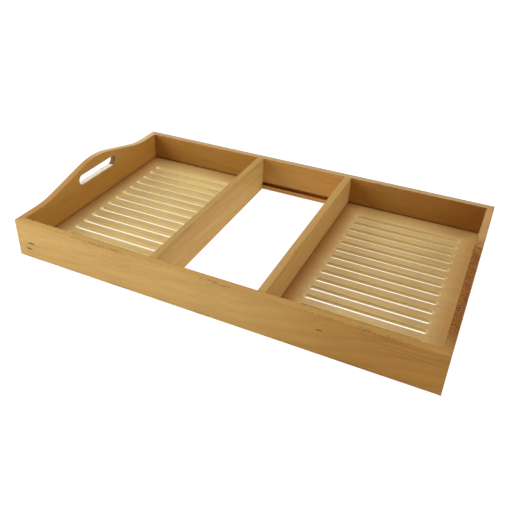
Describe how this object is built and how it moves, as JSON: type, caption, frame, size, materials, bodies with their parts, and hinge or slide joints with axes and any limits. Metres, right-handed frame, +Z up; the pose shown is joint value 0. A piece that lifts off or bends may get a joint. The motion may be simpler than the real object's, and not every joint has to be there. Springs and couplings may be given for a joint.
{
  "type": "wooden carrying tray",
  "caption": "Shallow wooden carrying tray with arched handle ends, hand holes, slotted floors in the side bays and an open middle bay.",
  "frame": {"origin": "centre of the tray's footprint, on the underside of the boards", "axes": "+X along the tray from the left end board to the right one, +Y from the front rail to the back rail, +Z up"},
  "size_m": [0.7, 0.42, 0.098],
  "materials": {
    "rail_boards": "clear satin oil on planed light hardwood",
    "end_boards": "clear satin oil on planed hardwood, darker end grain on the crest",
    "floor_panels": "sanded plywood face with routed slots",
    "pegs": "raw hardwood, hidden in the joints"
  },
  "bodies": {
    "root": {"front_rail": "rail_boards", "back_rail": "rail_boards", "left_end": "end_boards", "right_end": "end_boards", "left_divider": "rail_boards", "right_divider": "rail_boards", "left_floor": "floor_panels", "right_floor": "floor_panels", "front_left_spline": "pegs", "front_right_spline": "pegs", "back_left_spline": "pegs", "back_right_spline": "pegs", "left_divider_front_dowels": "pegs", "left_divider_back_dowels": "pegs", "right_divider_front_dowels": "pegs", "right_divider_back_dowels": "pegs"}
  },
  "joints": []
}
